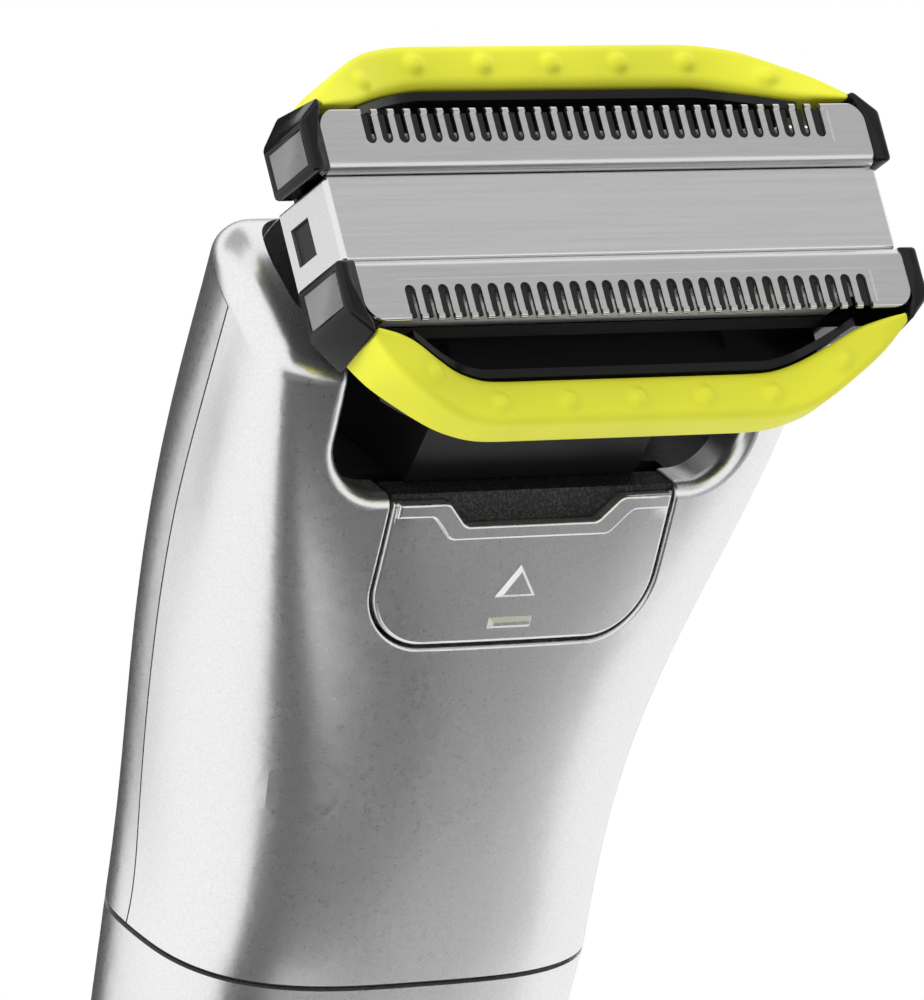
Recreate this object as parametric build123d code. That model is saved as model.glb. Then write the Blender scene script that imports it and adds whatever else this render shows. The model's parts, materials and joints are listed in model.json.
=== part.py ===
from build123d import *
import math
import os
from collections import namedtuple

# An electric body shaver that stands on its foot. Front is -Y, up is +Z, right is +X.
# All lengths are in millimetres and all angles in degrees.

# Fits between pieces
FIT = 0.05
RUN = 0.04
GAP = 0.2
MOVE = 0.3

# Handle, from the foot up. Each station gives its height, half width, the depth of the
# front and of the back from the axis, the parting line, and how square the front is.
Station = namedtuple("Station", "z half_width front back parting square")
FOOT = Station(0.0, 15.0, 10.4, 10.6, 0.0, 2.8)
GRIP = Station(44.0, 15.6, 10.5, 10.8, 0.5, 3.0)
WAIST = Station(87.5, 17.4, 11.0, 11.9, 1.8, 3.2)
BELLY = Station(98.0, 17.5, 11.25, 12.2, 3.6, 3.2)
CHEST = Station(109.0, 19.25, 11.5, 11.4, 2.9, 3.2)
SHOULDER = Station(121.0, 20.85, 11.6, 11.0, 1.0, 5.0)
COLLAR = Station(131.0, 22.0, 11.6, 10.0, -1.8, 7.0)
CROWN = Station(143.0, 22.8, 11.6, 8.8, -4.0, 7.0)
LOWER = [FOOT, GRIP, WAIST]
UPPER = [WAIST, BELLY, CHEST, SHOULDER, COLLAR, CROWN]
BACK_ROUND = 2.0
OUTLINE_POINTS = 24
WALL = 1.8
RIM_WALL = 3.0
PARTING_GAP = 0.15
# Side seam between the covers, as depth and height, up to its kink and on to the rim
SEAM = [
    (0.4, WAIST.z), (1.75, 94.5), (1.9, 100.0), (1.3, 107.5), (0.6, 113.5), (-0.4, 119.7), (-2.1, 126.7),
]
# Depth at which the screw posts of the two covers meet
POST_Y = 2.2
KINK_Y = -4.4
KINK_Z = 135.4
SEAM_END_Y = 8.0
SEAM_END_Z = 142.2

# Saddle between the ears, and the notch in the front wall
RIM_FRONT_Z = 132.0
NOTCH_CORNER_Y = -9.6
NOTCH_CORNER_Z = 134.8
EAR_Y = -0.8
EAR_Z = 139.3
RIM_BACK_Y = 11.0
RIM_BACK_Z = 131.5
NOTCH_HALF = 16.3
NOTCH_FLOOR_Z = 124.5
NOTCH_RADIUS = 4.0
NOTCH_DEPTH_Y = -5.0
RIM_EDGE = 2.2
NOTCH_EDGE = 1.0
TOUCH = 0.01

# Foot and charging jack
CAP_HEIGHT = 7.0
CAP_FLOOR = 2.6
CAP_EDGE = 1.4
SPIGOT_HEIGHT = 4.0
SPIGOT_WALL = 1.2
SEAL_HEIGHT = 1.2
SEAL_DEPTH = 0.6
JACK_RADIUS = 4.0
JACK_BORE = 1.75
JACK_BORE_LENGTH = 9.0
JACK_HEIGHT = 11.0
JACK_INSET = 0.6

# Ring seam
WAIST_GAP = 0.4
RING_INSET = 0.5
SLEEVE_REACH = 2.0
SLEEVE_WALL = 0.7
SLEEVE_FIT = 0.6

# Screws
SCREW_RADIUS = 1.0
SCREW_HEAD = 1.8
SCREW_HEAD_HEIGHT = 1.4
BOSS_RADIUS = 2.4
COVER_SCREW_X = 12.4
COVER_SCREW_Z = 102.0
COVER_SCREW_LENGTH = 7.0
COVER_HEAD_Y = 5.6
BASE_SCREW_X = 9.8
BASE_SCREW_LENGTH = 8.0
BASE_HEAD_Z = 1.4

# Power button, switch and light
POWER_Z = 62.0
POWER_WIDTH = 9.5
POWER_HEIGHT = 13.0
POWER_PROUD = 0.4
POWER_TRAVEL = 0.6
POWER_FLANGE = 1.1
POWER_FLANGE_BACK_Y = -7.8
SIGN_RADIUS = 1.7
SIGN_LINE = 0.45
SIGN_DEPTH = 0.25
LIGHT_Z = 47.0
LIGHT_RADIUS = 1.2

# Battery, board and chassis
CELL_RADIUS = 5.25
CELL_LENGTH = 44.5
CELL_Y = 1.2
CELL_Z = 16.0
TAB_THICKNESS = 0.3
BOARD_WIDTH = 12.0
BOARD_THICKNESS = 1.0
BOARD_BACK_Y = -4.7
BOARD_Z = 16.0
BOARD_LENGTH = 52.0
SWITCH_SIZE = 6.0
SWITCH_THICKNESS = 1.2
SWITCH_PLUNGER = 1.5
LED_SIZE = 2.0
LED_THICKNESS = 0.8
SPINE_HALF = 3.4
SPINE_FRONT_Y = 6.8
SPINE_THICKNESS = 0.9
SPINE_Z = 14.0
SHELF_THICKNESS = 1.6

# Motor and drive
MOTOR_RADIUS = 7.7
MOTOR_FLAT = 12.1
MOTOR_LENGTH = 20.6
MOTOR_Z = 70.5
MOTOR_WALL = 0.8
BELL_HEIGHT = 3.0
SHAFT_RADIUS = 1.0
SHAFT_TOP = 5.5
ARMATURE_RADIUS = 4.6
CAM_RADIUS = 3.6
CAM_HEIGHT = 2.6
CAM_PIN_RADIUS = 0.8
CAM_PIN_HEIGHT = 4.4
CUTTER_STROKE = 1.0
PIVOT_Y = 0.7
PIVOT_Z = 113.7
NECK_TILT = 18.0
LEVER_UP = 30.0
LEVER_DOWN = 14.0
LEVER_ROD = 1.1
LEVER_TIP = 1.25
LEVER_BOSS = 3.0
LEVER_BOSS_HALF = 3.0
LEVER_BAR_HALF = 1.4
FORK_PRONG = 1.2
PIN_RADIUS = 1.2
BRACKET_HALF_X = 7.4
BRACKET_EAR = 1.7
BRACKET_REACH = 3.6
BRACKET_SIDE = 1.6
DRIVE_SEAL_THICKNESS = 1.0
DRIVE_SEAL_LAP = 0.5

# Deck and release button
DECK_TOP_Z = NOTCH_FLOOR_Z
DECK_THICKNESS = 3.4
DECK_FRONT_Y = -7.4
BUTTON_HALF = 11.2
BUTTON_BOTTOM_Z = 113.4
BUTTON_RADIUS = 4.5
BUTTON_SLOT = 0.25
BUTTON_EDGE = 0.3
SLOT_EDGE = 0.2
LIP_WIDTH = 1.05
LIP_RISE = 0.3
LIP_EDGE = 0.2
BUTTON_BACK_Y = -9.0
RELEASE_TRAVEL = 1.0
SHOULDER_DROP = 0.5
SCALLOP_DROP = 1.75
SCALLOP_TOP_HALF = 6.95
SCALLOP_FLOOR_HALF = 5.3
SCALLOP_ROUND = 0.9
GRIP_SETBACK = 0.5
MARK_WIDTH = 3.6
MARK_HEIGHT = 2.6
MARK_FOOT_Z = 116.7
MARK_BAR_HEIGHT = 0.95
MARK_BAR_Z = 114.9
MARK_RISE = 0.35
MARK_SLOPE = 45.0
YOKE_HEIGHT = 1.8
YOKE_ARM = 1.5
YOKE_ARM_END_Y = -2.0
YOKE_WEB = 1.2
SPRING_RADIUS = 1.4
SPRING_WIRE = 0.25
SPRING_TURNS = 4
SEAT_THICKNESS = 1.0
SPRING_Z = 115.1

# Neck and plug
NECK_HALF = 9.25
NECK_FRONT = 6.2
NECK_BACK = 5.4
PLUG_HALF = 8.0
PLUG_DEPTH_HALF = 4.2
PLUG_START = 5.0
BORE_HALF_X = 5.4
BORE_HALF_Y = 3.0
LATCH_CLEAR = 0.15
HEAD_LIFT = 30.0

# Head, in its own frame: origin on top of the centre strip, z along the shaving normal
HEAD_TILT = 44.0
STRIP_Y = -13.5
STRIP_Z = 145.4
STRIP_LENGTH = 44.0
STRIP_WIDTH = 6.0
STRIP_THICKNESS = 0.4
STRIP_BEND = 0.6
TAB_DEPTH = 6.0
TAB_HALF = 2.8
WINDOW_WIDTH = 2.65
WINDOW_HEIGHT = 2.25
WINDOW_Z = -4.0
COMB_RISE = 0.6
COMB_THICKNESS = 0.3
COMB_INNER = STRIP_WIDTH / 2 + FIT
COMB_CURL = 0.8
COMB_CURL_DROP = 1.0
COMB_OUTER = 7.45
COMB_HALF = STRIP_LENGTH / 2 - 0.3
COMB_CORNER = 1.5
TIP_ROUND = 0.2
SLOT_PITCH = 1.28
SLOT_MARGIN = 3.6
SLOT_COUNT = int(2 * (COMB_HALF - SLOT_MARGIN) / SLOT_PITCH) + 1
SLOT_WIDTH = 0.8
SLOT_ROOT = 5.0
FIELD_INNER = 4.6
FIELD_DROP = 0.1
FIELD_SIDE = 0.5
BLADE_GAP = 0.05
BLADE_THICKNESS = 0.25
BLADE_INNER = 4.5
BLADE_OUTER = 7.15
BLADE_HALF = COMB_HALF - 2.0
BLADE_SPRING = 0.2
RAIL_HALF = BLADE_HALF - 1.7
RAIL_OUTER = 6.0
BRIDGE_TOP_Z = -2.8
BRIDGE_THICKNESS = 1.4
BRIDGE_HALF = 10.0
PRONG_WIDTH = 2.0
PRONG_DEPTH = 2.4
PRONG_HALF = 2.7
TRAY_FLOOR_Z = -8.0
TRAY_FLOOR = 1.2
TRAY_HALF_X = STRIP_LENGTH / 2 - 0.5
TRAY_RISE_X = 4.0
TRAY_HALF_Y = 7.2
TRAY_END = 0.8
TRAY_SIDE_TOP_Z = -3.4
TRAY_SIDE = 0.8
TRAY_WINDOW_X = 6.0
TRAY_WINDOW_Y = 4.2
CATCH_REACH = 0.1
CAP_END = STRIP_LENGTH / 2 + 1.05
CAP_INNER_Y = 3.15
CAP_PANEL_Y = 6.8
CAP_TIP_Y = 8.6
CAP_TOP_Z = 0.7
CAP_BOTTOM_Z = -4.7
CAP_SOFT = 0.35
GUARD_LINING = 0.6
LINING_DROP = 0.35
GUARD_GAP = 0.2
GUARD_RAIL = 1.0
RAIL_SHARE = 0.6
# Stations of a guard from the end of its straight to its tip: the inner and the outer edge in
# plan, the height of the top at both edges, the height of the underside, and the corner radius
Bend = namedtuple("Bend", "inner outer inner_top outer_top low soft")
END_X = STRIP_LENGTH / 2
GUARD_STRAIGHT = Bend((END_X - 11.0, 10.4), (END_X - 11.0, 13.6), -2.8, -2.8, -6.5, 0.9)
GUARD_EASE = Bend((END_X - 8.6, 9.95), (END_X - 8.8, 13.3), -2.4, -2.6, -5.9, 0.85)
GUARD_BEND = Bend((END_X - 6.5, 9.2), (END_X - 6.8, 12.7), -1.5, -2.2, -5.6, 0.8)
GUARD_TURN = Bend((END_X - 4.5, 8.35), (END_X - 4.6, 11.45), -0.5, -1.5, -5.3, 0.7)
GUARD_TAPER = Bend((END_X - 2.8, 8.05), (END_X - 2.5, 10.0), 0.2, -0.7, -4.9, 0.5)
GUARD_END = Bend((END_X - 1.1, 7.85), (END_X - 0.85, 8.4), 0.5, 0.1, -4.4, 0.25)
BOW_RUN = [GUARD_STRAIGHT, GUARD_EASE, GUARD_BEND, GUARD_TURN]
GUARD_RUN = BOW_RUN + [GUARD_TAPER, GUARD_END]
BUMP_RADIUS = 1.0
BUMP_RISE = 0.35
BUMP_PITCH = 5.45
BUMP_COUNT = 5
BUMP_SINK = 0.4
HEAD_SCREW_X = 7.3
HEAD_SCREW_Y = -0.6
HEAD_SCREW_RADIUS = 0.7
HEAD_SCREW_HEAD = 1.4
HEAD_SCREW_LENGTH = 5.0

# How far cutting shapes reach past the piece they cut, a little and a lot
OVER = 10.0
FAR = 60.0


def tilted(y, z, tilt):
    """Frame on the middle plane whose z axis leans forward by tilt."""
    lean = math.radians(tilt)
    up = (0, -math.sin(lean), math.cos(lean))
    return Plane(origin=(0, y, z), x_dir=(1, 0, 0), z_dir=up).location


HEAD = tilted(STRIP_Y, STRIP_Z, HEAD_TILT)
NECK = tilted(PIVOT_Y, PIVOT_Z, NECK_TILT)


def lever_tip():
    """Place of the lever's tip in the head's frame, as y and z."""
    tip = (HEAD.inverse() * NECK * Pos(0, 0, LEVER_UP)).position
    return tip.Y, tip.Z


def block(x0, x1, y0, y1, z0, z1):
    """Box between six coordinates."""
    return Pos((x0 + x1) / 2, (y0 + y1) / 2, (z0 + z1) / 2) * Box(x1 - x0, y1 - y0, z1 - z0)


def rod(radius, z0, z1, x=0.0, y=0.0):
    """Upright cylinder between two heights."""
    return Pos(x, y, (z0 + z1) / 2) * Cylinder(radius, z1 - z0)


def rod_y(radius, y0, y1, x, z):
    """Cylinder along Y between two depths."""
    return Pos(x, (y0 + y1) / 2, z) * Rot(90, 0, 0) * Cylinder(radius, y1 - y0)


def slab(z0, z1):
    """All of the space between two heights."""
    return block(-FAR, FAR, -FAR, FAR, z0, z1)


def both(shape):
    """A piece and its mirror image in the middle plane."""
    return shape + mirror(shape, about=Plane.YZ)


def wall_at(station):
    """Wall of the handle: thin in the grip, thick at the ears."""
    share = (station.z - WAIST.z) / (COLLAR.z - WAIST.z)
    return WALL + (RIM_WALL - WALL) * min(max(share, 0.0), 1.0)


def section(station, inset):
    """Outline of the handle at one station, pulled in by inset."""
    points = []
    for i in range(OUTLINE_POINTS):
        turn = 2 * math.pi * i / OUTLINE_POINTS
        c = math.cos(turn)
        s = math.sin(turn)
        ahead = s < 0
        power = station.square if ahead else BACK_ROUND
        depth = station.front + station.parting if ahead else station.back - station.parting
        k = (abs(c) ** power + abs(s) ** power) ** (-1 / power)
        x = (station.half_width - inset) * c * k
        points.append((x, station.parting + (depth - inset) * s * k, station.z))
    even = [i / OUTLINE_POINTS for i in range(OUTLINE_POINTS + 1)]
    return make_face(Edge.make_spline(points, periodic=True, parameters=even))


def outside(stations):
    """One half of the handle, filled."""
    return loft([section(station, 0.0) for station in stations])


def cavity(stations, extra):
    """The room inside the wall, pulled in further by extra."""
    return loft([section(station, wall_at(station) + extra) for station in stations])


LOWER_OUTSIDE = outside(LOWER)
UPPER_OUTSIDE = outside(UPPER)


def side_cut(edges, half):
    """Side-view outline in depth and height, pushed through the width."""
    return extrude(Plane.YZ * make_face(edges), amount=half, both=True)


def ahead_of_seam(shift):
    """Space in front of the seam between the two covers."""
    low = (SEAM[0][0] + shift, WAIST.z - OVER)
    seam = [(y + shift, z) for y, z in SEAM]
    kink = (KINK_Y + shift, KINK_Z)
    curve = Spline(low, *seam, kink)
    end = (SEAM_END_Y + shift, SEAM_END_Z)
    top = CROWN.z + OVER
    rest = Polyline(kink, end, (end[0], top), (-FAR, top), (-FAR, low[1]), low)
    return side_cut([curve, rest], FAR)


def above_rim():
    """Space above the saddle-shaped rim."""
    front = (-FAR / 2, RIM_FRONT_Z)
    start = (CROWN.parting - FAR / 6, RIM_FRONT_Z)
    rim = Spline(
        start,
        (NOTCH_CORNER_Y, NOTCH_CORNER_Z),
        (EAR_Y, EAR_Z),
        (RIM_BACK_Y, RIM_BACK_Z),
        tangents=[(1, 0.6), (0.7, -1)],
    )
    back = (FAR / 2, RIM_BACK_Z - (FAR / 2 - RIM_BACK_Y) * 0.6)
    top = CROWN.z + OVER
    rest = Polyline((RIM_BACK_Y, RIM_BACK_Z), back, (FAR / 2, top), (-FAR / 2, top), front, start)
    return side_cut([rim, rest], FAR)


def front_outline(half, z0, z1, radius):
    """Front-view panel with round lower corners, as a face on the middle plane."""
    pts = [(-half, z1), (-half, z0), (half, z0), (half, z1)]
    panel = make_face(Polyline(*pts, close=True))
    low = panel.vertices().sort_by(Axis.Y)[:2]
    return Plane.XZ * fillet(low, radius)


def front_prism(face, y0, y1):
    """Front-view face pushed from one depth to another."""
    solid = extrude(face, amount=y1 - y0, dir=(0, 1, 0))
    return Pos(0, y0, 0) * solid


def notch():
    """Opening in the front wall above the release button."""
    face = front_outline(NOTCH_HALF, NOTCH_FLOOR_Z, CROWN.z + OVER, NOTCH_RADIUS)
    return front_prism(face, -FAR / 2, NOTCH_DEPTH_Y)


def button_panel(grow):
    """Front view of the release button, grown by a gap."""
    z0 = BUTTON_BOTTOM_Z - grow
    return front_outline(BUTTON_HALF + grow, z0, NOTCH_FLOOR_Z + 1.0, BUTTON_RADIUS + grow)


def skin_edges(shell, cut):
    """Edges of a shell where a cut meets the skin of the handle."""
    skin = UPPER_OUTSIDE.faces().sort_by(SortBy.AREA)[-1]
    picked = []
    for edge in shell.edges():
        middle = edge @ 0.5
        if cut.distance_to(middle) < TOUCH and skin.distance_to(middle) < TOUCH:
            picked.append(edge)
    return picked


def cover_shell():
    """Both upper covers in one piece, before they are parted."""
    shell = UPPER_OUTSIDE & slab(WAIST.z + WAIST_GAP / 2, CROWN.z - 0.5)
    shell = shell - cavity(UPPER, 0.0) - above_rim() - notch()
    shell = fillet(skin_edges(shell, above_rim()), RIM_EDGE)
    return fillet(skin_edges(shell, notch()), NOTCH_EDGE)


SHELL = cover_shell()


def cover_bosses():
    """Screw bosses of the front cover."""
    y1 = POST_Y - FIT
    boss = rod_y(BOSS_RADIUS, -FAR / 4, y1, COVER_SCREW_X, COVER_SCREW_Z)
    hole = rod_y(SCREW_RADIUS + FIT, y1 - COVER_SCREW_LENGTH, FAR, COVER_SCREW_X, COVER_SCREW_Z)
    return both((boss & UPPER_OUTSIDE) - hole)


def front_cover():
    opening = front_prism(button_panel(BUTTON_SLOT), -FAR / 2, NOTCH_DEPTH_Y)
    shell = (SHELL & ahead_of_seam(0.0)) - opening
    shell = fillet(skin_edges(shell, opening), SLOT_EDGE)
    return shell + cover_bosses()


def back_cover():
    shell = SHELL - ahead_of_seam(PARTING_GAP)
    post = rod_y(BOSS_RADIUS, POST_Y + PARTING_GAP, FAR / 4, COVER_SCREW_X, COVER_SCREW_Z)
    shell += both(post & UPPER_OUTSIDE)
    hole = rod_y(SCREW_RADIUS + FIT, -FAR / 4, FAR / 4, COVER_SCREW_X, COVER_SCREW_Z)
    sink = rod_y(SCREW_HEAD + FIT, COVER_HEAD_Y - SCREW_HEAD_HEIGHT, FAR / 4, COVER_SCREW_X, COVER_SCREW_Z)
    return shell - both(hole + sink)


def cover_screws():
    under = COVER_HEAD_Y - SCREW_HEAD_HEIGHT + FIT
    tip = POST_Y - COVER_SCREW_LENGTH + FIT
    shank = rod_y(SCREW_RADIUS, tip, under, COVER_SCREW_X, COVER_SCREW_Z)
    head = rod_y(SCREW_HEAD, under, under + SCREW_HEAD_HEIGHT, COVER_SCREW_X, COVER_SCREW_Z)
    top = under + SCREW_HEAD_HEIGHT
    slot = block(-SCREW_HEAD, SCREW_HEAD, top - 0.6, top + 1, -0.25, 0.25)
    cross = slot + Rot(0, 90, 0) * slot
    screw = shank + head - Pos(COVER_SCREW_X, 0, COVER_SCREW_Z) * cross
    return both(screw)


def power_outline(grow):
    """Front view of the power button."""
    face = SlotOverall(POWER_HEIGHT + 2 * grow, POWER_WIDTH + 2 * grow, rotation=90)
    return Plane.XZ * Pos(0, POWER_Z) * face


def lower_body():
    shell = LOWER_OUTSIDE & slab(CAP_HEIGHT, WAIST.z - WAIST_GAP / 2)
    shell -= cavity(LOWER, 0.0)
    shell -= front_prism(power_outline(GAP), -FAR / 2, 0)
    shell -= rod_y(LIGHT_RADIUS + FIT, -FAR / 2, 0, 0, LIGHT_Z)
    z0 = CAP_HEIGHT + SPIGOT_HEIGHT + FIT
    boss = rod(BOSS_RADIUS, z0, z0 + BASE_SCREW_LENGTH, BASE_SCREW_X)
    web = block(BASE_SCREW_X, FAR, -SPIGOT_WALL, SPIGOT_WALL, z0, z0 + BASE_SCREW_LENGTH)
    web = web & LOWER_OUTSIDE
    hole = rod(SCREW_RADIUS + FIT, z0 - 1, z0 + BASE_SCREW_LENGTH - 1, BASE_SCREW_X)
    return shell + both(boss + web - hole)


def waist_gasket():
    z0 = WAIST.z - WAIST_GAP / 2
    z1 = WAIST.z + WAIST_GAP / 2
    flange = ring_prism(RING_INSET, z0 + FIT, z1 - FIT)
    sleeve = ring_prism(WALL + SLEEVE_FIT, z0 - SLEEVE_REACH, z1 + SLEEVE_REACH)
    bore = ring_prism(WALL + SLEEVE_FIT + SLEEVE_WALL, z0 - FAR / 4, z1 + FAR / 4)
    return flange + sleeve - bore


def ring_prism(inset, z0, z1):
    """Upright prism with the outline of the waist, between two heights."""
    solid = extrude(section(WAIST, inset), amount=z1 - z0, dir=(0, 0, 1))
    return Pos(0, 0, z0 - WAIST.z) * solid


def base_cap():
    cap = LOWER_OUTSIDE & slab(0, CAP_HEIGHT - FIT)
    foot = cap.edges().filter_by(lambda e: e.center().Z < 0.01)
    cap = fillet(foot, CAP_EDGE)
    top = CAP_HEIGHT + SPIGOT_HEIGHT
    cap += spigot_room(FIT, CAP_FLOOR + 1, top)
    cap -= spigot_room(FIT + SPIGOT_WALL, CAP_FLOOR, top + 1)
    post = rod(SCREW_HEAD + 1.0, 1, top, BASE_SCREW_X)
    cap += both(post & spigot_room(FIT, 0, top))
    groove_z = CAP_HEIGHT + SPIGOT_HEIGHT / 2
    cap -= spigot_room(-1.0, groove_z, groove_z + SEAL_HEIGHT) - spigot_room(FIT + SEAL_DEPTH, 0, FAR / 2)
    cap -= both(rod(SCREW_RADIUS + FIT, -1, FAR, BASE_SCREW_X))
    cap -= both(rod(SCREW_HEAD + FIT, -1, BASE_HEAD_Z + SCREW_HEAD_HEIGHT, BASE_SCREW_X))
    cap += rod(JACK_RADIUS + 1.2, CAP_FLOOR - 1, CAP_HEIGHT)
    return cap - rod(JACK_RADIUS + FIT, -1, CAP_HEIGHT + 1)


def spigot_room(extra, z0, z1):
    """Room inside the lower wall between two heights, pulled in by extra."""
    return cavity(LOWER, extra) & slab(z0, z1)


def base_seal():
    groove_z = CAP_HEIGHT + SPIGOT_HEIGHT / 2
    ring = spigot_room(FIT, groove_z + FIT, groove_z + SEAL_HEIGHT - FIT)
    return ring - spigot_room(SEAL_DEPTH, 0, FAR / 2)


def base_screws():
    top = BASE_HEAD_Z + SCREW_HEAD_HEIGHT - FIT
    head = rod(SCREW_HEAD, top - SCREW_HEAD_HEIGHT, top, BASE_SCREW_X)
    end = CAP_HEIGHT + SPIGOT_HEIGHT + BASE_SCREW_LENGTH - 2
    shank = rod(SCREW_RADIUS, top - FIT, end, BASE_SCREW_X)
    low = top - SCREW_HEAD_HEIGHT
    slot = block(-SCREW_HEAD, SCREW_HEAD, -0.25, 0.25, low - 1, low + 0.6)
    cross = slot + Rot(0, 0, 90) * slot
    return both(head + shank - Pos(BASE_SCREW_X, 0, 0) * cross)


def charge_jack():
    body = rod(JACK_RADIUS, JACK_INSET, JACK_INSET + JACK_HEIGHT)
    collar = rod(JACK_RADIUS + 1.0, CAP_HEIGHT + FIT, CAP_HEIGHT + 1.2)
    bore = rod(JACK_BORE, JACK_INSET - 1, JACK_INSET + JACK_BORE_LENGTH)
    return body + collar - bore


def power_button():
    face = front_prism(power_outline(0.0), -FAR / 2, POWER_FLANGE_BACK_Y)
    grown = Pos(0, -POWER_PROUD, 0) * LOWER_OUTSIDE
    cap = face & grown
    flange = front_prism(power_outline(GAP + POWER_FLANGE), -FAR / 2, POWER_FLANGE_BACK_Y)
    flange = flange & cavity(LOWER, MOVE / 2)
    return cap + flange - power_sign()


def power_sign():
    """Standby sign sunk into the power button: an open ring and a stroke."""
    ring = Circle(SIGN_RADIUS) - Circle(SIGN_RADIUS - SIGN_LINE)
    mouth = Pos(0, SIGN_RADIUS) * Rectangle(3 * SIGN_LINE, 2 * SIGN_RADIUS - SIGN_LINE)
    stroke = Pos(0, SIGN_RADIUS - 0.1) * Rectangle(SIGN_LINE, SIGN_RADIUS)
    sign = Plane.XZ * Pos(0, POWER_Z) * (ring - mouth + stroke)
    cut = front_prism(sign, -FAR / 2, 0)
    return cut - Pos(0, SIGN_DEPTH - POWER_PROUD, 0) * LOWER_OUTSIDE


def light_pipe():
    pipe = rod_y(LIGHT_RADIUS, -FAR / 2, board_front() - LED_THICKNESS - FIT, 0, LIGHT_Z)
    return pipe & LOWER_OUTSIDE


def board_front():
    return BOARD_BACK_Y - BOARD_THICKNESS


def control_board():
    half = BOARD_WIDTH / 2
    return block(-half, half, board_front(), BOARD_BACK_Y, BOARD_Z, BOARD_Z + BOARD_LENGTH)


def power_switch():
    half = SWITCH_SIZE / 2
    y0 = board_front()
    body = block(-half, half, y0 - SWITCH_THICKNESS, y0, POWER_Z - half, POWER_Z + half)
    tip = POWER_FLANGE_BACK_Y + POWER_TRAVEL + FIT
    return body + rod_y(SWITCH_PLUNGER, tip, y0 - SWITCH_THICKNESS / 2, 0, POWER_Z)


def status_led():
    half = LED_SIZE / 2
    y0 = board_front()
    return block(-half, half, y0 - LED_THICKNESS, y0, LIGHT_Z - half, LIGHT_Z + half)


def battery_cell():
    can = rod(CELL_RADIUS, CELL_Z, CELL_Z + CELL_LENGTH - 1, 0, CELL_Y)
    return can + rod(CELL_RADIUS * 0.4, CELL_Z, CELL_Z + CELL_LENGTH, 0, CELL_Y)


def battery_tabs():
    half = CELL_RADIUS * 0.5
    y0 = board_front() - TAB_THICKNESS
    low = block(-half, half, y0, CELL_Y + half, CELL_Z - TAB_THICKNESS, CELL_Z)
    high = Pos(0, 0, CELL_LENGTH + TAB_THICKNESS) * block(-half, half, BOARD_BACK_Y + FIT, CELL_Y + half,
                                                         CELL_Z - TAB_THICKNESS, CELL_Z)
    return low, high


def motor_profile(inset):
    """Round motor outline with two flats."""
    round_face = Circle(MOTOR_RADIUS - inset)
    return round_face & Rectangle(2 * MOTOR_RADIUS, MOTOR_FLAT - 2 * inset)


def motor_top():
    return MOTOR_Z + MOTOR_LENGTH


def motor_can():
    at = Pos(0, PIVOT_Y, MOTOR_Z + BELL_HEIGHT)
    can = at * extrude(motor_profile(0.0), amount=MOTOR_LENGTH - BELL_HEIGHT)
    hollow = at * extrude(motor_profile(MOTOR_WALL), amount=MOTOR_LENGTH - BELL_HEIGHT - MOTOR_WALL)
    nose = rod(3 * SHAFT_RADIUS, motor_top() - 0.5, motor_top() + 1.0, 0, PIVOT_Y)
    return can - hollow + nose - rod(SHAFT_RADIUS + RUN, MOTOR_Z, FAR * 2, 0, PIVOT_Y)


def motor_end_bell():
    bell = Pos(0, PIVOT_Y, MOTOR_Z) * extrude(motor_profile(0.0), amount=BELL_HEIGHT - FIT)
    return bell - rod(SHAFT_RADIUS + RUN, MOTOR_Z + 0.8, FAR * 2, 0, PIVOT_Y)


def motor_shaft():
    return rod(SHAFT_RADIUS, MOTOR_Z + 0.8 + FIT, motor_top() + SHAFT_TOP, 0, PIVOT_Y)


def motor_armature():
    z0 = MOTOR_Z + BELL_HEIGHT + 2
    core = rod(ARMATURE_RADIUS, z0, motor_top() - MOTOR_WALL - 2, 0, PIVOT_Y)
    return core - rod(SHAFT_RADIUS, MOTOR_Z, FAR * 2, 0, PIVOT_Y)


def eccentric():
    """Throw of the cam that gives the cutters their stroke."""
    return CUTTER_STROKE * LEVER_DOWN / LEVER_UP


def cam_bottom():
    return motor_top() + SHAFT_TOP - CAM_HEIGHT + 0.6


def drive_cam():
    z0 = cam_bottom()
    disc = rod(CAM_RADIUS, z0, z0 + CAM_HEIGHT, 0, PIVOT_Y)
    disc -= rod(SHAFT_RADIUS, z0 - 1, motor_top() + SHAFT_TOP, 0, PIVOT_Y)
    top = z0 + CAM_HEIGHT
    return disc + rod(CAM_PIN_RADIUS, top - 0.3, top + CAM_PIN_HEIGHT, eccentric(), PIVOT_Y)


def drive_lever():
    boss = Rot(90, 0, 0) * Cylinder(LEVER_BOSS, 2 * LEVER_BOSS_HALF)
    arm = rod(LEVER_ROD, 0, LEVER_UP) + Pos(0, 0, LEVER_UP) * Sphere(LEVER_TIP)
    upper = NECK * (boss + arm)
    inner = CAM_PIN_RADIUS + 2 * eccentric() + 3 * FIT
    half = inner + FORK_PRONG
    z0 = cam_bottom() + CAM_HEIGHT + MOVE
    bar = LEVER_BAR_HALF
    lower = block(-half, half, PIVOT_Y - bar, PIVOT_Y + bar, z0, PIVOT_Z)
    slot_top = cam_bottom() + CAM_HEIGHT + CAM_PIN_HEIGHT + 2 * MOVE
    lower -= block(-inner, inner, PIVOT_Y - 9, PIVOT_Y + 9, z0 - 1, slot_top)
    hole = NECK * (Rot(90, 0, 0) * Cylinder(PIN_RADIUS + RUN, FAR))
    return upper + lower - hole


def lever_pin():
    half = LEVER_BOSS_HALF + GAP + BRACKET_EAR
    return NECK * (Rot(90, 0, 0) * Cylinder(PIN_RADIUS, 2 * half))


def bracket():
    """Tube around the lever that carries its pin."""
    half_y = LEVER_BOSS_HALF + GAP + BRACKET_EAR
    outer = block(-BRACKET_HALF_X, BRACKET_HALF_X, -half_y, half_y, -BRACKET_REACH, BRACKET_REACH)
    room_x = BRACKET_HALF_X - BRACKET_SIDE
    room_y = LEVER_BOSS_HALF + GAP
    room = block(-room_x, room_x, -room_y, room_y, -FAR, FAR)
    return NECK * (outer - room)


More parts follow.
